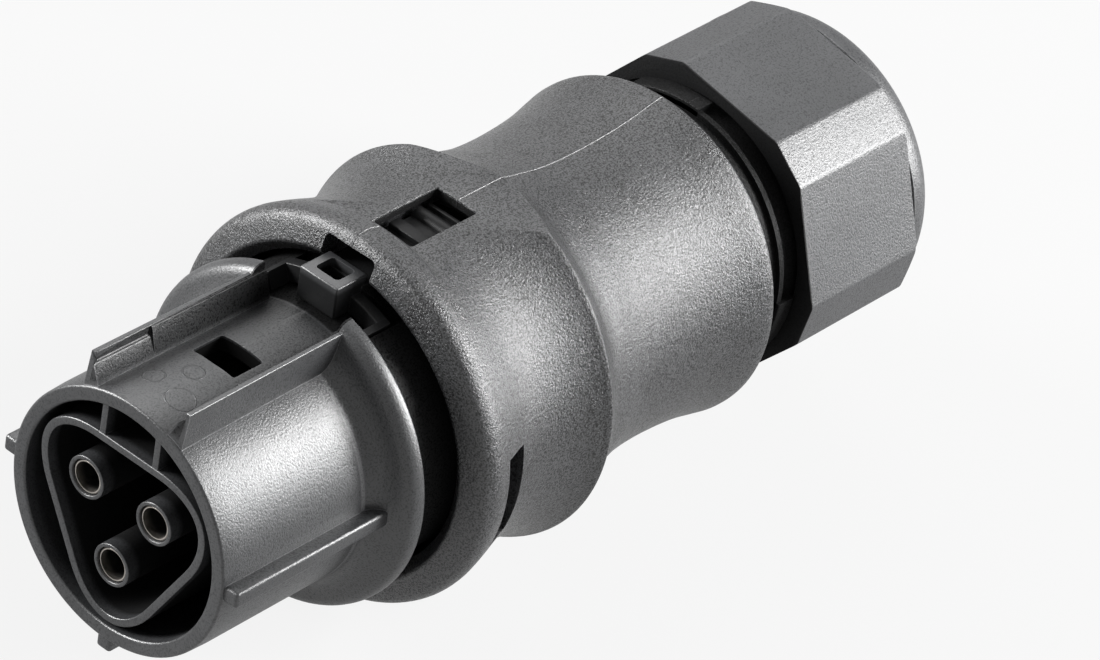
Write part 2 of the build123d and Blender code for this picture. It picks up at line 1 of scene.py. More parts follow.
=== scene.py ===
# %% [markdown]
# A three-pole cable connector receptacle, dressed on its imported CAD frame.
# The CAD solids carry the sizes and the motion. This script models the moulded pieces that show again with finer
# curves and rounded edges, gives every piece a procedural finish, and sets up floor, light and camera.

# %% Load the frame
from math import atan2, cos, degrees, pi, radians, sin, tan

import bmesh
import bpy
from mathutils import Matrix, Vector


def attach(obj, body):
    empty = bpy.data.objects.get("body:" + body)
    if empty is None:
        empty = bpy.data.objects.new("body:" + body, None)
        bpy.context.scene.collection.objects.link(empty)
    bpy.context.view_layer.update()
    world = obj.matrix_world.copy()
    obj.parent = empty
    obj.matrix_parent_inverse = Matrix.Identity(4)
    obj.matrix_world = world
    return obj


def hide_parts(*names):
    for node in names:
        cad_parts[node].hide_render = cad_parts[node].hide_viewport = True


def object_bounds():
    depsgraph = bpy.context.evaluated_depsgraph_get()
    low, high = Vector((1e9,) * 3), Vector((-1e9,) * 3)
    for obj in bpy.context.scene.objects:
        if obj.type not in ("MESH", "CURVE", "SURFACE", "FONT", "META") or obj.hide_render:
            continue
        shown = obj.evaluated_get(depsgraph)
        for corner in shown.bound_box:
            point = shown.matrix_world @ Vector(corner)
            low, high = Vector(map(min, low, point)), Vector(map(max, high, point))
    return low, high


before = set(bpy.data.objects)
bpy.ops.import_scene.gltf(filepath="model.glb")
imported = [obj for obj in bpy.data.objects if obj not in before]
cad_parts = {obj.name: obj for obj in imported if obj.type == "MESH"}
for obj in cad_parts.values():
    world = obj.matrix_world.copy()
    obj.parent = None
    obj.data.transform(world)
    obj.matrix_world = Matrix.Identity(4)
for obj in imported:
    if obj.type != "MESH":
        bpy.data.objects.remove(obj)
cad_low, cad_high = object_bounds()
print("CAD box in mm:", [round(v * 1000, 2) for v in (*cad_low, *cad_high)])

# %% [markdown]
# The connector is easiest to model along its own axis: stations are millimetres behind the mating face, and the latch
# side points up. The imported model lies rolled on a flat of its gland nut, is in metres, and has its origin at the
# middle of its length. One matrix takes a finished mesh from the first description to the second, and one takes
# directions.

# %% Axes of the connector
LENGTH = 82.1
ROLL = radians(10.7)
ROLLED = Matrix.Rotation(-ROLL, 4, "X")
TO_FRAME = ROLLED @ Matrix.Translation((-LENGTH / 2000, 0, 0)) @ Matrix.Scale(0.001, 4)
AXIAL = Vector((1, 0, 0))
SIDE = ROLLED @ Vector((0, 1, 0))
UP = ROLLED @ Vector((0, 0, 1))
print("latch side points to", tuple(round(v, 4) for v in UP))


def outward(clock, radius):
    """From the axis to a radius, at a clock angle counted from the latch side towards -Y, in connector millimetres."""
    return Vector((0, -radius * sin(radians(clock)), radius * cos(radians(clock))))


# %% [markdown]
# Every piece ends the same way: its doubles are merged, its normals are recalculated, it is taken into the frame, its
# faces are shaded smooth up to an angle, and it rides on the CAD body that it belongs to. A short function does that,
# so that each piece below only has to say what its shape is.

# %% Finishing a piece
DOUBLES = 0.0005


def finish_piece(name, bm, body, finish, smooth_angle):
    """Turns a bmesh in connector millimetres into an object that rides on a CAD body."""
    bmesh.ops.remove_doubles(bm, verts=bm.verts, dist=DOUBLES)
    bmesh.ops.recalc_face_normals(bm, faces=bm.faces)
    bm.transform(TO_FRAME)
    mesh = bpy.data.meshes.new(name)
    bm.to_mesh(mesh)
    bm.free()
    mesh.materials.append(finish)
    mesh.shade_smooth()
    mesh.set_sharp_from_angle(angle=radians(smooth_angle))
    piece = bpy.data.objects.new(name, mesh)
    bpy.context.scene.collection.objects.link(piece)
    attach(piece, body)
    print(f"{name}: {len(mesh.polygons)} faces")
    return piece


def to_object(bm, name="tool"):
    """A loose object in connector millimetres, for a Boolean."""
    bmesh.ops.remove_doubles(bm, verts=bm.verts, dist=DOUBLES)
    bmesh.ops.recalc_face_normals(bm, faces=bm.faces)
    mesh = bpy.data.meshes.new(name)
    bm.to_mesh(mesh)
    bm.free()
    tool = bpy.data.objects.new(name, mesh)
    bpy.context.scene.collection.objects.link(tool)
    return tool


def boolean(bm, *steps):
    """Adds or cuts one bmesh after another, as (operation, bmesh) pairs, and returns the result as a bmesh."""
    work = to_object(bm, "work")
    tools = []
    for operation, other in steps:
        tool = to_object(other)
        tools.append(tool)
        step = work.modifiers.new(operation, "BOOLEAN")
        step.operation = operation
        step.solver = "EXACT"
        step.object = tool
    shaped = work.evaluated_get(bpy.context.evaluated_depsgraph_get())
    result = bmesh.new()
    result.from_mesh(shaped.to_mesh())
    shaped.to_mesh_clear()
    for tool in (work, *tools):
        bpy.data.objects.remove(tool)
    return result


# %% [markdown]
# Most of the connector is turned. A profile is drawn as one face of a few points, its corners are rounded by bevelling
# its vertices, the face is dropped, and its edges are spun once round the axis and joined up.

# %% Turning a profile
def profile_edges(points, rounds):
    """A closed profile of (station, radius) points. rounds is a list of (point index, radius of its corner)."""
    bm = bmesh.new()
    verts = [bm.verts.new((x, 0, r)) for x, r in points]
    bm.faces.new(verts)
    for index, size in rounds:
        bmesh.ops.bevel(bm, geom=[verts[index]], offset=size, offset_type="OFFSET", segments=6, profile=0.5,
                        affect="VERTICES", material=-1)
    bmesh.ops.delete(bm, geom=bm.faces[:], context="FACES_ONLY")
    return bm


def turned(points, rounds=(), steps=144, start=0.0, sweep=360.0):
    """Spins a closed profile round the axis, from one clock angle over a sweep in degrees."""
    bm = profile_edges(points, rounds)
    bmesh.ops.rotate(bm, verts=bm.verts, cent=(0, 0, 0), matrix=Matrix.Rotation(radians(start), 3, "X"))
    full = abs(sweep - 360) < 1e-6
    first = bm.edges[:]
    made = bmesh.ops.spin(bm, geom=bm.verts[:] + bm.edges[:], cent=(0, 0, 0), axis=(1, 0, 0), angle=radians(sweep),
                          steps=steps, use_merge=full)
    if not full:
        last = [e for e in made["geom_last"] if isinstance(e, bmesh.types.BMEdge)]
        bmesh.ops.contextual_create(bm, geom=first)
        bmesh.ops.contextual_create(bm, geom=last)
    return bm


def smooth_line(points, resolution):
    """Points along a smooth curve through a few (station, radius) points."""
    curve = bpy.data.curves.new("line", "CURVE")
    curve.resolution_u = resolution
    spline = curve.splines.new("BEZIER")
    spline.bezier_points.add(len(points) - 1)
    for knot, (x, r) in zip(spline.bezier_points, points):
        knot.co = (x, 0, r)
        knot.handle_left_type = knot.handle_right_type = "AUTO"
    holder = bpy.data.objects.new("line", curve)
    mesh = bpy.data.meshes.new_from_object(holder)
    line = [(v.co.x, v.co.z) for v in mesh.vertices]
    bpy.data.objects.remove(holder)
    return line


def block(low, high, clock=0.0, round_size=0.0, segments=2, only=None):
    """A box between two corners in connector millimetres, turned to a clock angle, its edges rounded."""
    bm = bmesh.new()
    size = [b - a for a, b in zip(low, high)]
    middle = [(a + b) / 2 for a, b in zip(low, high)]
    bmesh.ops.create_cube(bm, size=1, matrix=Matrix.Translation(middle) @ Matrix.Diagonal((*size, 1)))
    if round_size:
        edges = [e for e in bm.edges
                 if only is None or abs((e.verts[0].co - e.verts[1].co).normalized()[only]) > 0.9]
        bmesh.ops.bevel(bm, geom=edges, offset=round_size, offset_type="OFFSET", segments=segments, profile=0.5,
                        affect="EDGES", clamp_overlap=True, material=-1)
    bmesh.ops.rotate(bm, verts=bm.verts, cent=(0, 0, 0), matrix=Matrix.Rotation(radians(clock), 3, "X"))
    return bm


def flared_cut(low, high, bottom, top, lip=0.13, corner=0.25):
    """Cutter for an opening in a level surface: straight walls that widen in a small curve at the surface."""
    bm = bmesh.new()
    size = (high[0] - low[0], high[1] - low[1])
    middle = ((low[0] + high[0]) / 2, (low[1] + high[1]) / 2, top)
    bmesh.ops.create_grid(bm, x_segments=1, y_segments=1, size=0.5,
                          matrix=Matrix.Translation(middle) @ Matrix.Diagonal((*size, 1, 1)))
    bmesh.ops.bevel(bm, geom=bm.verts[:], offset=corner, offset_type="OFFSET", segments=4, profile=0.5,
                    affect="VERTICES", material=-1)
    base = bm.faces[:]
    levels = [(top - lip, 0.0), (top - lip * 0.38, lip * 0.22), (top - lip * 0.08, lip * 0.62), (top, lip),
              (top + 4, lip)]
    for vert in bm.verts:
        vert.co.z = bottom
    previous = 0.0
    for height, out in levels:
        made = bmesh.ops.extrude_face_region(bm, geom=base)
        if height > top - lip:
            bmesh.ops.delete(bm, geom=base, context="FACES_ONLY")
        verts = [g for g in made["geom"] if isinstance(g, bmesh.types.BMVert)]
        base = [g for g in made["geom"] if isinstance(g, bmesh.types.BMFace)]
        for vert in verts:
            vert.co.z = height
        if out > previous:
            grow = [1 + 2 * (out - previous) / s for s in size]
            bmesh.ops.scale(bm, verts=verts, vec=(*grow, 1), space=Matrix.Translation([-c for c in middle]))
            previous = out
    return bm


def rod(radius, start, end, segments):
    """A solid rod on the axis between two stations."""
    bm = bmesh.new()
    bmesh.ops.create_cone(bm, cap_ends=True, segments=segments, radius1=radius, radius2=radius, depth=end - start,
                          matrix=Matrix.Translation(((start + end) / 2, 0, 0)) @ Matrix.Rotation(pi / 2, 4, "Y"))
    return bm


def joined(*parts):
    """Several meshes as one bmesh, without a Boolean."""
    whole = bmesh.new()
    for part in parts:
        loose = bpy.data.meshes.new("part")
        part.to_mesh(loose)
        part.free()
        whole.from_mesh(loose)
        bpy.data.meshes.remove(loose)
    return whole


# %% [markdown]
# Shader maths reads best as plain expressions. One small class wraps a socket, and each operator adds a Math node. The
# other class holds a material's nodes, and adds any other node from its type, its settings and its inputs.

# %% Shader helpers
# Near black that is mixed in as painted shade where a surface is hidden.
PAINTED_SHADE_BLACK = (0.003, 0.003, 0.003, 1)


class Value:
    """A number that varies over the surface."""

    def __init__(self, paint, socket):
        self.paint, self.socket = paint, socket

    def _math(self, operation, *operands):
        return self.paint.node("ShaderNodeMath", {"operation": operation}, dict(enumerate(operands)))

    def __add__(self, other):
        return self._math("ADD", self, other)

    def __radd__(self, other):
        return self._math("ADD", other, self)

    def __sub__(self, other):
        return self._math("SUBTRACT", self, other)

    def __rsub__(self, other):
        return self._math("SUBTRACT", other, self)

    def __mul__(self, other):
        return self._math("MULTIPLY", self, other)

    def __rmul__(self, other):
        return self._math("MULTIPLY", other, self)

    def __lt__(self, other):
        return self._math("LESS_THAN", self, other)

    def __gt__(self, other):
        return self._math("GREATER_THAN", self, other)

    def size(self):
        """The value without its sign."""
        return self._math("ABSOLUTE", self)

    def ramp(self, low, high, to_low=0.0, to_high=1.0):
        """This value taken from one range to another, smoothly and without leaving it."""
        return self.paint.node("ShaderNodeMapRange", {"interpolation_type": "SMOOTHSTEP"},
                               {"Value": self, "From Min": low, "From Max": high, "To Min": to_low, "To Max": to_high})


class Paint:
    """The nodes of one material, or of the world: they are added by type, settings and inputs."""

    def __init__(self, owner):
        self.owner = owner
        owner.use_nodes = True
        self.tree = owner.node_tree
        self.tree.nodes.clear()

    def node(self, kind, settings=None, inputs=None, output=0):
        """Adds a node: its settings first, then the values or links of its sockets."""
        made = self.tree.nodes.new(kind)
        for key, value in (settings or {}).items():
            setattr(made, key, value)
        for key, value in (inputs or {}).items():
            self.feed(made.inputs[key], value)
        return Value(self, made.outputs[output])

    def feed(self, target, value):
        """Links a value to a socket, or sets a constant on it."""
        if isinstance(value, Value):
            self.tree.links.new(value.socket, target)
        else:
            target.default_value = value

    def place(self):
        """Coordinates of the piece itself, which move with it."""
        return self.node("ShaderNodeTexCoord", output="Object")

    def along(self, direction):
        """The piece's coordinate along a direction, in millimetres."""
        return self.node("ShaderNodeVectorMath", {"operation": "DOT_PRODUCT"},
                         {0: self.place(), 1: tuple(direction)}, output="Value") * 1000.0

    def station(self, start, end):
        """0 up to a station behind the mating face, 1 from the next."""
        return self.along(AXIAL).ramp(start - LENGTH / 2, end - LENGTH / 2)

    def between(self, start, end):
        """1 from one station to another, 0 outside them."""
        return self.station(start, start + 0.05) * (1.0 - self.station(end, end + 0.05))

    def from_axis(self):
        """Distance from the axis of the connector, in millimetres."""
        across = self.node("ShaderNodeVectorMath", {"operation": "MULTIPLY"}, {0: self.place(), 1: (0, 1000, 1000)})
        return self.node("ShaderNodeVectorMath", {"operation": "LENGTH"}, {0: across}, output="Value")

    def stretched(self, scale):
        """Coordinates scaled by three numbers, in the rolled axes of the connector."""
        turned_place = self.node("ShaderNodeVectorRotate", {"rotation_type": "X_AXIS"},
                                 {"Vector": self.place(), "Angle": ROLL})
        return self.node("ShaderNodeVectorMath", {"operation": "MULTIPLY"}, {0: turned_place, 1: scale})

    def noise(self, size_mm, detail, roughness=0.5, stretch=(1, 1, 1)):
        """Cloudy noise from 0 to 1, with features of a size in millimetres."""
        scale = tuple(1000.0 * s for s in stretch)
        return self.node("ShaderNodeTexNoise", {"noise_dimensions": "3D"},
                         {"Vector": self.stretched(scale), "Scale": 1.0 / size_mm, "Detail": detail,
                          "Roughness": roughness})

    def mix(self, factor, first, second):
        """One colour over another."""
        made = self.tree.nodes.new("ShaderNodeMix")
        made.data_type = "RGBA"
        for key, value in (("Factor", factor), ("A", first), ("B", second)):
            sockets = [s for s in made.inputs if s.name == key and s.enabled]
            self.feed(sockets[0], value)
        return Value(self, [s for s in made.outputs if s.enabled][0])

    def edges(self, radius_mm=0.12):
        """1 on rounded-over edges, 0 on faces."""
        soft = self.node("ShaderNodeBevel", {"samples": 4}, {"Radius": radius_mm / 1000})
        true = self.node("ShaderNodeNewGeometry", output="Normal")
        along = self.node("ShaderNodeVectorMath", {"operation": "DOT_PRODUCT"}, {0: soft, 1: true}, output="Value")
        return along.ramp(0.98, 0.85)

    def plain_shader(self, color, roughness, **constants):
        """A Principled shader. What varies is linked, and each constant is set on its own socket."""
        shader = self.tree.nodes.new("ShaderNodeBsdfPrincipled")
        self.feed(shader.inputs["Base Color"], color)
        self.feed(shader.inputs["Roughness"], roughness)
        for key, value in constants.items():
            shader.inputs[key.replace("_", " ")].default_value = value
        return shader

    def surface(self, color, roughness, height, height_mm, painted_shade, **constants):
        """The finished material: grain as bump, and a matt near black mixed in as painted shade where painted_shade,
        which may be None, says so.
        """
        shader = self.plain_shader(color, roughness, **constants)
        bump = self.node("ShaderNodeBump", {}, {"Strength": 1.0, "Distance": height_mm / 1000, "Height": height})
        self.feed(shader.inputs["Normal"], bump)
        result = Value(self, shader.outputs[0])
        # Painted shade: a matt near black is mixed in over the lit shader.
        if painted_shade is not None:
            painted_shade_shader = self.plain_shader(PAINTED_SHADE_BLACK, 0.9, Specular_IOR_Level=0.1)
            result = self.node("ShaderNodeMixShader", {}, {0: painted_shade, 1: result, 2: Value(self, painted_shade_shader.outputs[0])})
        return self.output("Material", result)

    def output(self, kind, shader):
        """Ends the material, or the world, with a shader."""
        out = self.tree.nodes.new(f"ShaderNodeOutput{kind}")
        self.feed(out.inputs["Surface"], shader)
        return self.owner


# %% [markdown]
# All the black mouldings are glass-filled nylon, moulded in tools with different textures. The insert and the slide
# have a fine grain, and their rounded edges are painted lighter, a painted highlight. A black plastic in a narrow place
# gets almost no light, and the renderer shows it too grey. So a finish may have painted shade, a number from 0 in the
# open towards 1 where the surface is hidden, worked out from the distances along the axis and from it, which mixes in
# a matt near black. The floor of the insert's channel also has three ejector marks, faint circles that the pins of
# the mould leave.

# %% Black plastics of the insert and the slide
SHEEN = 1.0
BLACK = (0.033, 0.034, 0.036)
# Painted highlight: rounded edges are painted towards this grey.
EDGE_HIGHLIGHT_GREY = (0.30, 0.30, 0.31, 1)
SLIDE_TOP = 14.1
INNER_RADIUS = 9.75
CHANNEL_SIDE = 4.62
CHANNEL_HOLE = (8.4, 11.9)
EJECTOR_MARKS = ((3.96, 1.61, 0.85), (3.47, -1.63, 1.2), (6.5, 0.0, 0.85))


def moulded(name, tone, roughness, grain_mm, grain_height_mm, speck=0.25, painted_edge_highlight=0.0, painted_shade=None, marks=None):
    """Black moulded plastic: fine grain in height and tone, and a gloss that changes over some millimetres.
    painted_edge_highlight is how much lighter its edges are painted, as a painted highlight, painted_shade says where
    it is hidden and darkened as painted shade, and marks adds to its height."""
    paint = Paint(bpy.data.materials.new(name))
    grain = paint.noise(grain_mm, detail=3.0, roughness=0.6)
    cloud = paint.noise(6.0, detail=2.0)
    dark, light = (tuple(k * t for t in tone) + (1,) for k in (0.8, 1.25))
    mix = paint.mix((grain - 0.5) * speck * 2.0 + cloud.ramp(0.3, 0.7) * 0.5, dark, light)
    # Painted highlight on the rounded edges.
    if painted_edge_highlight:
        mix = paint.mix(paint.edges() * painted_edge_highlight, mix, EDGE_HIGHLIGHT_GREY)
    rough = cloud.ramp(0.3, 0.7, roughness - 0.03, roughness + 0.03)
    height = grain + marks(paint) if marks else grain
    return paint.surface(mix, rough, height, grain_height_mm, painted_shade(paint, grain) if painted_shade else None,
                         Specular_IOR_Level=SHEEN)


def insert_painted_shade(paint, grain):
    """Painted shade inside the shroud, in the hole of the channel, between the fins and behind the collar."""
    inner_wall = paint.from_axis().ramp(INNER_RADIUS + 0.1, INNER_RADIUS - 0.1)
    inside = paint.station(0.7, 1.5) * inner_wall * 0.9
    hole = paint.between(*CHANNEL_HOLE) * paint.from_axis().ramp(10.95, 10.8) * 0.85
    behind_collar = paint.station(18.72, 19.0) * 0.85
    latch_side = (paint.along(SIDE).size() < CHANNEL_SIDE) * (paint.along(UP) > 9.0)
    channel = latch_side * (1.0 - paint.station(18.6, 18.7))
    fin_side = paint.from_axis().ramp(11.15, 11.5) * 0.45
    further_back = paint.station(1.0, 18.0) * 0.35
    # The grain's pits are darkened too, as painted shade in its hollows.
    pits = grain.ramp(0.5, 0.35) * 0.3
    return inside + (1.0 - inside) * (hole + behind_collar + channel * (fin_side + further_back) + pits)


def ejector_marks(paint):
    """Faint circles on the floor of the channel, each one a ring where the distance from its middle is its radius."""
    circles = 0.0
    for x, side, radius in EJECTOR_MARKS:
        across = paint.along(AXIAL) - (x - LENGTH / 2)
        beside = paint.along(SIDE) - side
        circle = (across * across + beside * beside - radius * radius).size().ramp(0.16, 0.04)
        circles = circle * (paint.along(UP) > 10.4) * 0.9 + circles
    return circles


def slide_painted_shade(paint, grain):
    """Painted shade below the top of the head, and under the plateau."""
    low = 1.0 - paint.along(UP).ramp(SLIDE_TOP - 0.75, SLIDE_TOP - 0.25)
    return low * 0.75 + paint.station(27.0, 28.0) * (1.0 - low) * 0.8


insert_plastic = moulded("insert_black", BLACK, 0.37, 0.16, 0.036, 1.2, 0.4, insert_painted_shade, ejector_marks)
slide_plastic = moulded("slide_black", BLACK, 0.38, 0.20, 0.025, 0.4, 0.25, slide_painted_shade)
inner_plastic = moulded("inner_black", (0.02, 0.02, 0.021), 0.5, 0.22, 0.01)
carrier_plastic = moulded("carrier_grey", (0.04, 0.04, 0.042), 0.5, 0.22, 0.01)

# %% [markdown]
# The housing has a coarse spark texture, which is three things at once: a bump that breaks the highlights into specks,
# a mottled tone, and small dark pits, painted as the shade in the hollows of the grain, that stay visible where no
# highlight falls. The line where the halves of the mould met is a faint raised band along the latch side. The nut was
# made in a polished tool, so it has faint lines along the axis and a lower grain. The rounded edges of both carry a
# painted highlight.

# %% Black plastics of the housing and the nut
def housing_finish():
    """Coarse spark texture with dark pits, the mould line and a painted edge highlight.
    Painted shade darkens it in the window and past the bulge.
    """
    paint = Paint(bpy.data.materials.new("housing_black"))
    grain = paint.noise(0.16, detail=3.0, roughness=0.65)
    waves = paint.noise(0.45, detail=1.0)
    speck = paint.noise(0.15, detail=2.0)
    cloud = paint.noise(7.0, detail=2.0)
    seam = paint.along(SIDE).size().ramp(0.10, 0.03) * (paint.along(UP) > 0.0)
    mottle = speck.ramp(0.40, 0.60) * 0.8 + cloud.ramp(0.3, 0.7) * 0.2
    tone = paint.mix(mottle, (0.004, 0.004, 0.004, 1), (0.058, 0.059, 0.062, 1))
    tone = paint.mix(seam * 0.4, tone, (0.12, 0.12, 0.125, 1))
    # Painted highlight on the rounded edges.
    tone = paint.mix(paint.edges(0.2) * 0.25, tone, EDGE_HIGHLIGHT_GREY)
    height = grain * 0.75 + waves * 0.35 + seam * 0.8
    below_plateau = 1.0 - paint.along(UP).ramp(14.5, 14.6)
    window = (paint.along(SIDE).size() < 2.3) * below_plateau * paint.between(27.0, 35.3)
    # Painted shade in the window and on the neck past the bulge.
    painted_shade = paint.station(59.3, 59.7) * 0.88 + window * 0.85
    # The grain's pits are darkened too, as painted shade in its hollows.
    pits = speck.ramp(0.5, 0.38) * 0.36
    return paint.surface(tone, cloud.ramp(0.3, 0.7, 0.27, 0.32), height, 0.10, painted_shade + (1.0 - painted_shade) * pits,
                         Specular_IOR_Level=SHEEN)


def nut_finish():
    """Faint lines along the axis, a low grain and a painted edge highlight. Painted shade darkens the face towards the
    housing.
    """
    paint = Paint(bpy.data.materials.new("nut_black"))
    grain = paint.noise(0.17, detail=3.0, roughness=0.6)
    lines = paint.noise(0.16, detail=2.0, stretch=(0.03, 1, 1))
    cloud = paint.noise(8.0, detail=2.0)
    mottle = lines.ramp(0.3, 0.7) * 0.4 + cloud.ramp(0.3, 0.7) * 0.6
    tone = paint.mix(mottle, (0.034, 0.035, 0.037, 1), (0.048, 0.049, 0.052, 1))
    # Painted highlight on the rounded edges.
    tone = paint.mix(paint.edges(0.2) * 0.2, tone, EDGE_HIGHLIGHT_GREY)
    height = lines * 0.12 + grain * 0.88
    # Painted shade on the front face, towards the housing.
    painted_shade = (1.0 - paint.station(64.98, 65.12)) * 0.88
    # The grain's pits are darkened too, as painted shade in its hollows.
    pits = grain.ramp(0.5, 0.36) * 0.35
    return paint.surface(tone, cloud.ramp(0.3, 0.7, 0.38, 0.42), height, 0.05, painted_shade + (1.0 - painted_shade) * pits,
                         Specular_IOR_Level=SHEEN)


housing_plastic = housing_finish()
nut_plastic = nut_finish()

# %% [markdown]
# The metal inside is plated copper alloy and steel. Its colour hardly varies, so the detail is in its roughness: fine
# turning marks on the sockets and screws, and a soft cloudiness on the terminals. The seals are matt rubber.

# %% Metals and rubber
def metal(name, color, roughness, marks_mm):
    """Bare metal with turning marks in its roughness. Painted shade darkens it deep in a socket."""
    paint = Paint(bpy.data.materials.new(name))
    marks = paint.noise(marks_mm, detail=2.0, stretch=(1, 0.2, 0.2))
    cloud = paint.noise(1.5, detail=3.0)
    tone = paint.mix(cloud.ramp(0.3, 0.7), tuple(0.85 * c for c in color) + (1,), color + (1,))
    # Painted shade deep in the sockets.
    deep_painted_shade = paint.station(0.3, 1.2) * (1.0 - paint.station(17.0, 18.0)) * 0.9
    return paint.surface(tone, marks.ramp(0.3, 0.7, roughness - 0.06, roughness + 0.08), marks, 0.004, deep_painted_shade,
                         Metallic=1.0)


contact_metal = metal("contact_plating", (0.62, 0.58, 0.53), 0.34, 0.1)
terminal_brass = metal("terminal_brass", (0.80, 0.64, 0.33), 0.30, 0.12)
screw_steel = metal("screw_steel", (0.66, 0.66, 0.66), 0.28, 0.1)
rubber = moulded("seal_rubber", (0.018, 0.018, 0.019), 0.62, 0.3, 0.012)

CONTACT_CLOCKS = {"line": 60, "earth": 180, "neutral": 300}
FINISHES = {
    "outer_housing": housing_plastic, "front_insert": insert_plastic, "contact_carrier": carrier_plastic,
    "barrel_seal": rubber, "cable_seal": rubber, "clamping_cage": inner_plastic, "slip_ring": inner_plastic,
    "gland_nut": nut_plastic, "release_slide": slide_plastic,
}
for pole in CONTACT_CLOCKS:
    FINISHES[f"socket_{pole}"] = contact_metal
    FINISHES[f"terminal_{pole}"] = terminal_brass
    FINISHES[f"wire_plate_{pole}"] = screw_steel
    FINISHES[f"terminal_screw_{pole}"] = screw_steel
for node, finish in FINISHES.items():
    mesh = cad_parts[node].data
    mesh.materials.clear()
    mesh.materials.append(finish)
print(len(FINISHES), "CAD nodes have a finish")

# %% [markdown]
# The housing is one moulding: a ring in front with a flat face, a saddle, a crisp ridge, a waist, a bulge and the neck
# for the nut. Its outline is drawn once as a smooth line through measured points and spun. Sculpting it would lose the
# roundness, which the long highlights of a black part show at once.

# %% Housing outline
RING_FACE = [(22.4, 14.07), (22.86, 15.45)]
RING_AND_SADDLE = smooth_line([(23.02, 15.86), (23.3, 16.18), (23.75, 16.4), (24.45, 16.5), (25.6, 16.27),
                               (26.46, 16.03), (27.93, 15.58), (29.4, 15.21), (31.6, 14.99), (33.8, 15.25),
                               (35.28, 15.62), (36.75, 16.17), (37.2, 16.4)], 3)
RIDGE = smooth_line([(37.34, 16.45), (37.48, 16.48), (37.64, 16.4)], 2)
WAIST_AND_BULGE = smooth_line([(37.88, 16.24), (38.25, 15.95), (38.8, 15.5), (39.3, 15.12), (39.9, 14.82),
                               (40.6, 14.57), (41.5, 14.34), (42.63, 14.1), (44.1, 13.78), (45.57, 13.57),
                               (48.51, 13.42), (51.45, 13.49), (54.39, 13.72), (55.86, 13.93), (57.33, 14.22),
                               (58.7, 14.49)], 3)
INSIDE = [(59.5, 14.5), (59.5, 11.7), (62.8, 11.7), (62.8, 12.15), (63.3, 12.15), (63.3, 11.7), (71.0, 11.7),
          (71.0, 9.6), (61.8, 9.6), (61.8, 8.2), (60.3, 8.2), (57.5, 11.4), (37.5, 11.4), (37.5, 13.1), (23.4, 13.1)]
outline = RING_FACE + RING_AND_SADDLE + RIDGE + WAIST_AND_BULGE + INSIDE
first_inside = len(outline) - len(INSIDE)
rounding = [(first_inside, 0.45), (first_inside + 6, 0.25), (0, 0.22)]
housing = turned(outline, rounding)
print("housing outline:", len(outline), "points, spun to", len(housing.faces), "faces")

# %% [markdown]
# On the latch side the saddle is cut by a flat plateau, but the ring in front stays round. So the cutter is a block
# with the ring's own turned shape taken out of it. The window's cutter widens a little where it meets the plateau, and
# that gives the moulded opening its small rounded lip. Three short lands stand in the groove of the neck.

# %% Plateau, window, notch and slots
PLATEAU = 14.75
SNAP_CLOCKS = (93.5, -93.5)
ring_keeps = turned([(22.0, 12.0), (22.0, 17.5), (25.2, 17.5), (25.9, 16.2), (27.7, 14.6), (27.7, 12.0)])
above_plateau = boolean(block((24.0, -9.0, PLATEAU), (48.5, 9.0, 19.0)), ("DIFFERENCE", ring_keeps))
notch = block((21.9, -2.55, 12.0), (25.0, 2.55, 15.5), round_size=0.5, segments=5, only=0)
slide_channel = block((22.0, -2.55, 12.0), (37.0, 2.55, 13.95))
window = flared_cut((27.5, -2.1), (35.0, 2.1), 12.0, PLATEAU)
cuts = [("DIFFERENCE", cut) for cut in (above_plateau, notch, slide_channel, window)]
for clock in SNAP_CLOCKS:
    cuts.append(("DIFFERENCE", block((26.0, -4.3, 12.5), (28.4, 4.3, 18.0), clock)))
housing = boolean(housing, *cuts)
thread_land = [(62.8, 11.4), (62.8, 12.45), (64.6, 12.45), (64.6, 11.4)]
lands = [turned(thread_land, [(1, 0.15), (2, 0.15)], 16, -28.5 + 120 * n, 34) for n in range(3)]
grip = finish_piece("grip_housing", joined(housing, *lands), "housing", housing_plastic, 24)
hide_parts("outer_housing")

# %% [markdown]
# The gland nut is a hexagon whose corners are cut by six narrow flats. A circle of twelve points gives it: every other
# side is made wide by turning alternate corners together. The long edges are rounded, the prism ends in a small step,
# and a turned rim with a dome closes it towards the cable.

# %% Gland nut
def nut_prism(start, end, corner=14.195, half_wide=21.8, first=10.9):
    """Twelve-sided prism along the axis, wide and narrow flats in turn. corner is the radius of its corners, half_wide
    is half the angle of a wide flat, and first is the clock angle of one."""
    bm = bmesh.new()
    made = bmesh.ops.create_circle(bm, cap_ends=True, segments=12, radius=corner,
                                   matrix=Matrix.Rotation(pi / 2, 4, "Y"))
    for vert in made["verts"]:
        clock = degrees(atan2(-vert.co.y, vert.co.z))
        place = round(clock / 30)
        target = first + 60 * (place // 2) + (half_wide if place % 2 else -half_wide)
        bmesh.ops.rotate(bm, verts=[vert], cent=(0, 0, 0), matrix=Matrix.Rotation(radians(target - clock), 3, "X"))
    bmesh.ops.translate(bm, verts=bm.verts, vec=(start, 0, 0))
    made = bmesh.ops.extrude_face_region(bm, geom=bm.faces[:])
    far = [g for g in made["geom"] if isinstance(g, bmesh.types.BMVert)]
    bmesh.ops.translate(bm, verts=far, vec=(end - start, 0, 0))
    long_edges = [e for e in bm.edges if abs(e.verts[0].co.x - e.verts[1].co.x) > 1]
    bmesh.ops.bevel(bm, geom=long_edges, offset=0.22, offset_type="OFFSET", segments=3, profile=0.5,
                    affect="EDGES", material=-1)
    bmesh.ops.recalc_face_normals(bm, faces=bm.faces)
    return bm


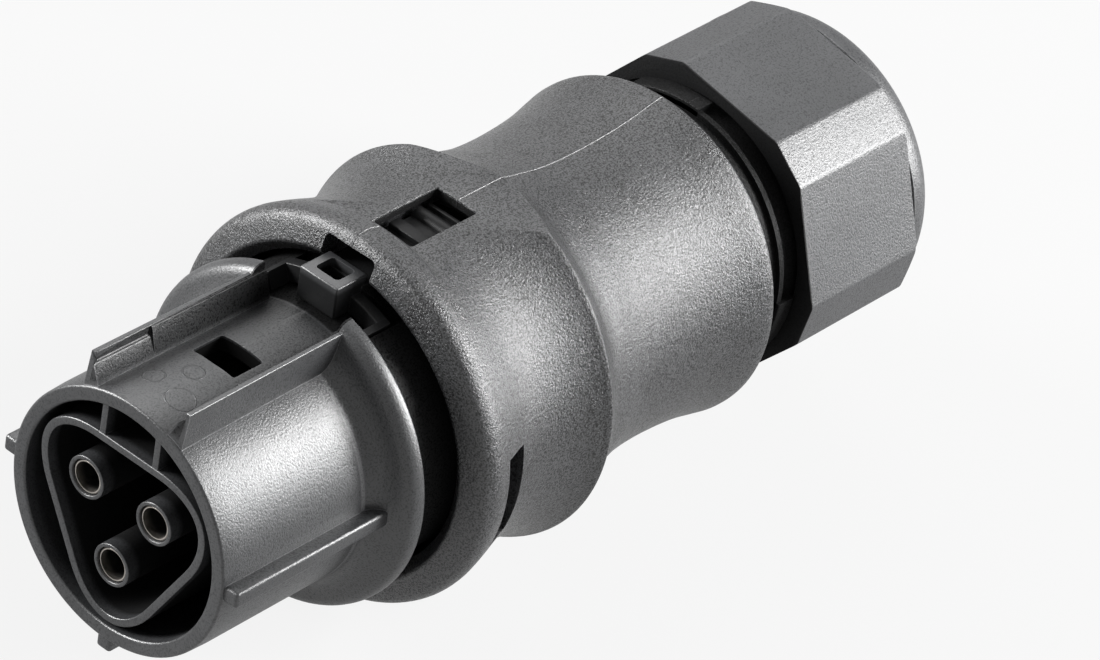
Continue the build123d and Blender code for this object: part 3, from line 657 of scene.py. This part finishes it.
prism = nut_prism(64.9, 78.4)
ends = turned([(64.0, 0.0), (64.0, 13.2), (64.9, 13.9), (65.25, 15.0), (77.6, 15.0), (78.4, 13.9), (79.0, 13.2),
               (79.0, 0.0)])
prism = boolean(prism, ("INTERSECT", ends))
dome = smooth_line([(79.0, 13.3), (79.7, 13.18), (80.5, 12.8), (81.25, 12.1), (81.8, 11.15), (82.07, 10.2)], 3)
rim = turned([(66.0, 0.0), (66.0, 12.6), (78.3, 12.6), (78.55, 13.3)] + dome + [(82.1, 9.9), (82.1, 0.0)])
bore = turned([(64.0, 0.0), (64.0, 12.9), (65.5, 11.76), (77.0, 11.76), (77.0, 10.6), (79.95, 10.6), (79.95, 7.4),
               (81.7, 7.4), (82.3, 8.0), (82.3, 0.0)])
nut = boolean(prism, ("UNION", rim), ("DIFFERENCE", bore))
nut = finish_piece("hexagon_nut", nut, "nut", nut_plastic, 20)
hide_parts("gland_nut")

# %% [markdown]
# The front insert has many small walls that catch the light on their edges. Each one is its own bevelled solid, sunk a
# little into its neighbour, because a bevel on a solid with few edges stays clean, while one on cut edges doesn't.

# %% Shroud, collar and barrel
shroud = turned([(0.0, INNER_RADIUS), (0.0, 11.02), (2.0, 11.1), (24.6, 11.1), (24.6, 12.5), (36.4, 12.5), (36.4, 10.4),
                 (19.0, 10.4), (19.0, 0.0), (17.0, 0.0), (17.0, INNER_RADIUS)], [(0, 0.22), (1, 0.22)])
channel_window = flared_cut((8.56, -2.18), (11.8, 2.18), 9.0, 11.1)
shroud = boolean(shroud, ("DIFFERENCE", channel_window))
flare = smooth_line([(14.9, 11.08), (15.6, 11.2), (16.25, 11.65), (16.7, 12.4), (16.95, 13.1), (17.15, 13.6),
                     (17.5, 14.0), (18.0, 14.18)], 3)
collar = turned([(14.9, 10.6)] + flare + [(18.7, 14.2), (18.7, 12.5), (24.6, 12.5), (24.6, 10.6)],
                [(len(flare) + 1, 0.25)])
between_fins = block((14.0, -4.47, 8.0), (18.9, 4.47, 16.0))
slide_pocket = block((18.5, -5.32, 8.0), (24.45, 5.32, 16.0))
collar = boolean(collar, ("DIFFERENCE", between_fins), ("DIFFERENCE", slide_pocket))
print("shroud", len(shroud.faces), "faces, collar", len(collar.faces), "faces")

# %% [markdown]
# A fin leans outwards on the channel side. Its section is one face, extruded along the axis. The far end is then moved
# inwards, because the pair stands closer at the collar, and the front end leans back. The front third has a shallow
# recess under its top edge, so the section there has a step, and a second slab fills the step further back.

# %% Fins and ribs
FIN_FRONT, FIN_LENGTH, FIN_DRIFT = 0.2, 18.35, 0.18
RECESS_END = 6.2


def fin_slab(side, section, front, lean, edge):
    """One solid of a fin, from a section of (side, height) points. lean is how far its top leans back in front."""
    start = (front - FIN_FRONT) / FIN_LENGTH
    bm = bmesh.new()
    bm.faces.new([bm.verts.new((front, side * (y - FIN_DRIFT * start), z)) for y, z in section])
    made = bmesh.ops.extrude_face_region(bm, geom=bm.faces[:])
    far = [g for g in made["geom"] if isinstance(g, bmesh.types.BMVert)]
    bmesh.ops.translate(bm, verts=far, vec=(FIN_LENGTH * (1 - start), -side * FIN_DRIFT * (1 - start), 0))
    front_top = [v for v in bm.verts if v.co.x < front + 0.5 and v.co.z > 12]
    bmesh.ops.translate(bm, verts=front_top, vec=(lean, 0, 0))
    blade = [e for e in bm.edges if min(v.co.z for v in e.verts) > 10.8]
    bmesh.ops.bevel(bm, geom=blade, offset=edge, offset_type="OFFSET", segments=3, profile=0.5, affect="EDGES",
                    material=-1)
    return bm


def fin(side):
    """One guide fin, side +1 or -1."""
    stepped = [(3.7, 9.9), (5.12, 9.6), (5.12, 12.8), (4.66, 12.8), (4.6, 12.08), (4.4, 11.98), (3.7, 10.45)]
    filling = [(3.72, 9.9), (4.95, 9.8), (4.95, 12.76), (4.5, 12.76), (3.72, 10.45)]
    return joined(fin_slab(side, stepped, FIN_FRONT, 0.5, 0.1), fin_slab(side, filling, RECESS_END, 0.15, 0.07))


fins = [fin(1), fin(-1)]
ribs = [block((0.25, -0.72, 10.3), (16.9, 0.72, 12.32), clock, 0.3, 4) for clock in (90, 180, 270)]
print(len(fins), "fins and", len(ribs), "ribs")

# %% [markdown]
# The contact face has a rounded triangular wall. A triangle with its corners bevelled by vertex is that outline, an
# inset makes the wall, and an extrusion gives it depth. The three sleeves are turned tubes, and two thin webs make the
# key slot.

# %% Contact face
def triangle_wall(start, end, flat=6.85, corner=5.0, wall=0.68, drop=0.19):
    """Rounded triangular wall round the contacts, its corners towards the sleeves. flat is how far its sides are from
    its middle, and drop is how far its middle is below the axis."""
    bm = bmesh.new()
    bmesh.ops.create_circle(bm, cap_ends=True, segments=3, radius=2 * flat, matrix=Matrix.Rotation(pi / 2, 4, "Y"))
    first = bm.verts[:][0].co
    clock = degrees(atan2(-first.y, first.z))
    bmesh.ops.rotate(bm, verts=bm.verts, cent=(0, 0, 0), matrix=Matrix.Rotation(radians(60 - clock), 3, "X"))
    bmesh.ops.bevel(bm, geom=bm.verts[:], offset=corner / tan(radians(30)), offset_type="OFFSET", segments=28,
                    profile=0.5, affect="VERTICES", material=-1)
    bmesh.ops.translate(bm, verts=bm.verts, vec=(start, 0, -drop))
    bmesh.ops.inset_region(bm, faces=bm.faces[:], thickness=wall, use_boundary=True, use_even_offset=True)
    inner = max(bm.faces, key=lambda f: len(f.verts))
    bmesh.ops.delete(bm, geom=[inner], context="FACES_ONLY")
    made = bmesh.ops.extrude_face_region(bm, geom=bm.faces[:])
    far = [g for g in made["geom"] if isinstance(g, bmesh.types.BMVert)]
    bmesh.ops.translate(bm, verts=far, vec=(end - start, 0, 0))
    bmesh.ops.recalc_face_normals(bm, faces=bm.faces)
    rims = [e for e in bm.edges if all(v.co.x < start + 0.01 for v in e.verts)
            and any(abs(f.normal.x) < 0.5 for f in e.link_faces)]
    bmesh.ops.bevel(bm, geom=rims, offset=0.12, offset_type="OFFSET", segments=3, profile=0.5, affect="EDGES",
                    material=-1)
    print("triangle wall:", len(rims), "rim edges,", len(bm.faces), "faces")
    return bm


CONTACT_RADIUS = 4.1
sleeves = []
for clock in CONTACT_CLOCKS.values():
    sleeve = turned([(0.0, 1.49), (0.0, 1.81), (17.2, 1.81), (17.2, 1.49)], [(0, 0.1), (1, 0.1)], 48)
    bmesh.ops.translate(sleeve, verts=sleeve.verts, vec=outward(clock, CONTACT_RADIUS))
    sleeves.append(sleeve)
webs = [block((0.25, y - 0.3, 6.3), (17.1, y + 0.3, 9.95), round_size=0.1, segments=3) for y in (2.75, -2.75)]
noses = [block((26.7, -3.9, 12.0), (28.2, 3.9, 13.3), clock, 0.15, 2) for clock in SNAP_CLOCKS]
insert = joined(shroud, collar, *fins, *ribs, triangle_wall(0.2, 17.2), *sleeves, *webs, *noses)
insert = finish_piece("socket_insert", insert, "housing", insert_plastic, 28)
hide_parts("front_insert")

# %% [markdown]
# The release slide is a small frame that the fingers push back. Its head has a square eye, a curved strap crosses the
# pocket behind it, two arms reach forward at the sides, and a tongue with a catch bar runs under the plateau.

# %% Release slide
TONGUE_SIDE = 2.05


def curved_bar(front, rear, size, steps, start, sweep):
    """A bar of the slide that follows the barrel from one clock angle over a sweep, its edges rounded."""
    section = [(front, 11.27), (front, 12.84), (rear, 12.84), (rear, 11.27)]
    return turned(section, [(corner, size) for corner in range(4)], steps, start, sweep)


head = block((19.55, -1.97, 11.25), (22.9, 1.97, SLIDE_TOP), round_size=0.18, segments=4)
eye = block((20.35, -1.18, 10.5), (22.4, 1.18, 14.6), round_size=0.35, segments=5, only=2)
underside = block((20.17, -1.35, 10.5), (22.28, 1.35, 13.48), round_size=0.2, segments=2)
head = boolean(head, ("DIFFERENCE", underside), ("DIFFERENCE", eye))
strap = [curved_bar(21.3, 22.4, 0.12, 12, start, 16.0) for start in (8.2, -24.2)]
arms = [curved_bar(19.4, 22.35, 0.1, 4, start, 2.5) for start in (21.9, -24.4)]
tongue = block((22.3, -TONGUE_SIDE, 12.65), (34.4, TONGUE_SIDE, 13.25), round_size=0.08, segments=2)
catch_bar = block((29.5, -TONGUE_SIDE, 13.0), (30.75, TONGUE_SIDE, 13.8), round_size=0.13, segments=3)
spring_ridge = rod(0.75, -TONGUE_SIDE, TONGUE_SIDE, 32)
bmesh.ops.rotate(spring_ridge, verts=spring_ridge.verts, cent=(0, 0, 0), matrix=Matrix.Rotation(pi / 2, 3, "Z"))
bmesh.ops.translate(spring_ridge, verts=spring_ridge.verts, vec=(32.9, 0, 13.05))
ridge_geometry = spring_ridge.verts[:] + spring_ridge.edges[:] + spring_ridge.faces[:]
bmesh.ops.bisect_plane(spring_ridge, geom=ridge_geometry, dist=0.001, plane_co=(0, 0, 12.7), plane_no=(0, 0, 1),
                       clear_inner=True)
bmesh.ops.holes_fill(spring_ridge, edges=spring_ridge.edges, sides=0)
end_lip = block((34.0, -TONGUE_SIDE, 13.1), (34.4, TONGUE_SIDE, 13.6), round_size=0.08, segments=2)
slide = joined(head, *strap, *arms, tongue, catch_bar, spring_ridge, end_lip)
slide = finish_piece("release_catch", slide, "release", slide_plastic, 28)
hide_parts("release_slide")

# %% [markdown]
# The camera comes from the photograph itself: the circles of the mating face and the edges along the axis fix where it
# stood. It looks down on the mating end from the side, with a long lens.

# %% Camera
CAMERA_FROM_FACE = (-301.13, -256.29, 304.73)
RIGHT = (0.66193, -0.73616, 0.14113)
DOWN = (-0.35886, -0.47654, -0.80258)
SENSOR_MM, LENS_MM = 36.0, 218.4


def direction(x, side, up):
    """A direction from its parts along the axis, to the side and towards the latch side."""
    return (AXIAL * x + SIDE * side + UP * up).normalized()


camera = bpy.data.objects.new("camera", bpy.data.cameras.new("camera"))
bpy.context.scene.collection.objects.link(camera)
right = direction(*RIGHT)
down = (direction(*DOWN) - right * direction(*DOWN).dot(right)).normalized()
forward = right.cross(-down) * -1
x, side, up = CAMERA_FROM_FACE
spot = (AXIAL * (x - LENGTH / 2) + SIDE * side + UP * up) / 1000
turn = Matrix((right, -down, -forward)).transposed().to_4x4()
camera.matrix_world = Matrix.Translation(spot) @ turn
camera.data.sensor_width = SENSOR_MM
camera.data.lens = LENS_MM
camera.data.clip_start = 0.01
camera.data.clip_end = 20.0
bpy.context.scene.camera = camera
print("camera at", tuple(round(v, 4) for v in spot), "looking along", tuple(round(v, 4) for v in forward))

# %% [markdown]
# The photograph is a cut-out on pure white, so the floor and the sky are white to the camera. The floor keeps a soft
# shadow. A tall soft light on the right makes the broad highlight along the housing, a second one at the front brings
# out the shroud and the ring, a weak one above lifts the nut, and the white world gives the rest.

# %% Floor and light
FLOOR_GREY = (0.34, 0.34, 0.34, 1)
WHITE = (1, 1, 1, 1)
FLOOR_GAP = 0.0002


def mirrored_rays(paint, camera, mirror, rest):
    """One number for rays from the camera, one for those from a mirroring surface, one for the rest."""
    kinds = ("Camera", "Glossy", "Transmission")
    from_camera, glossy, through = (paint.node("ShaderNodeLightPath", output=f"Is {kind} Ray") for kind in kinds)
    return from_camera * (camera - rest) + (glossy + through) * (mirror - rest) + rest


def stage_floor():
    """A floor that is white to the camera and pale in mirrors, and else a grey that takes the shadow."""
    bm = bmesh.new()
    bmesh.ops.create_grid(bm, x_segments=1, y_segments=1, size=3.0,
                          matrix=Matrix.Translation((0, 0, cad_low.z - FLOOR_GAP)))
    mesh = bpy.data.meshes.new("floor")
    bm.to_mesh(mesh)
    bm.free()
    floor = bpy.data.objects.new("floor", mesh)
    bpy.context.scene.collection.objects.link(floor)
    paint = Paint(bpy.data.materials.new("floor_white"))
    diffuse = paint.node("ShaderNodeBsdfDiffuse", {}, {"Color": FLOOR_GREY})
    glow = paint.node("ShaderNodeEmission", {}, {"Color": WHITE, "Strength": 1.0})
    both = paint.node("ShaderNodeMixShader", {}, {0: mirrored_rays(paint, 0.85, 0.30, 0.0), 1: diffuse, 2: glow})
    mesh.materials.append(paint.output("Material", both))


def softbox(name, toward, distance, size, power):
    """A rectangular area light that shines on the connector from a direction."""
    lamp = bpy.data.lights.new(name, "AREA")
    lamp.shape = "RECTANGLE"
    lamp.size, lamp.size_y = size
    lamp.energy = power
    holder = bpy.data.objects.new(name, lamp)
    bpy.context.scene.collection.objects.link(holder)
    holder.location = toward * distance
    holder.rotation_mode = "QUATERNION"
    holder.rotation_quaternion = toward.to_track_quat("Z", "Y")


def studio():
    """White world: 1 to the camera, less in mirrors and as a light."""
    world = bpy.data.worlds.new("studio")
    bpy.context.scene.world = world
    paint = Paint(world)
    strength = mirrored_rays(paint, 1.0, 0.50, 0.27)
    white = paint.node("ShaderNodeBackground", {}, {"Color": WHITE, "Strength": strength})
    paint.output("World", white)


stage_floor()
studio()
softbox("key_light", direction(0.68, -0.622, 0.389), 0.50, (0.17, 0.34), 5.4)
softbox("front_light", direction(-0.50, 0.76, 0.42), 0.60, (0.25, 0.25), 6.2)
softbox("top_light", direction(0.40, 0.50, 0.77), 0.60, (0.40, 0.40), 1.1)
bpy.context.scene.view_settings.view_transform = "Standard"
print("floor, three soft lights and a white world")
